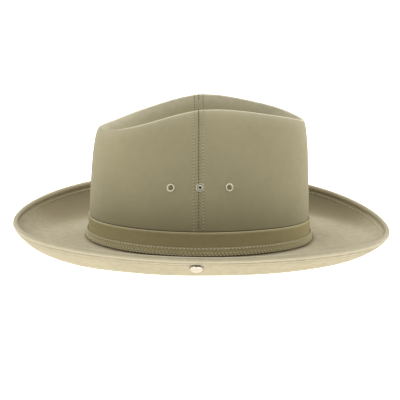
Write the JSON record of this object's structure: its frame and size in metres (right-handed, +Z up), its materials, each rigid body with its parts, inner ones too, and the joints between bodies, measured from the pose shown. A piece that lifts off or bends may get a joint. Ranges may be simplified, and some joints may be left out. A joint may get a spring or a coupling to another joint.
{
  "type": "camargue hat",
  "caption": "Soft cotton camargue riding hat with a teardrop crown, a stitched band, metal vent eyelets and snaps, and a wide brim rolled up at its edge.",
  "frame": {"origin": "on the surface that the hat rests on, under the middle of its length and width", "axes": "+X towards the front of the hat, +Y towards the wearer's left, +Z up"},
  "size_m": [0.3514, 0.3038, 0.1313],
  "materials": {
    "crown_cloth": "matt, smooth brushed cotton, olive beige",
    "band_cloth": "matt, smooth brushed cotton, darker olive beige",
    "brim_cloth": "matt, smooth brushed cotton, olive beige",
    "eyelet_metal": "nickel plated, soft gloss",
    "snap_metal": "nickel plated, soft gloss"
  },
  "bodies": {
    "root": {"crown_front": "crown_cloth", "crown_back": "crown_cloth", "hat_band": "band_cloth", "band_strip": "band_cloth", "brim": "brim_cloth", "brim_edge": "brim_cloth", "eyelet_left_front": "eyelet_metal", "eyelet_left_back": "eyelet_metal", "eyelet_right_front": "eyelet_metal", "eyelet_right_back": "eyelet_metal", "crown_stud_left": "snap_metal", "crown_stud_right": "snap_metal", "brim_snap_left": "snap_metal", "brim_snap_right": "snap_metal"}
  },
  "joints": []
}
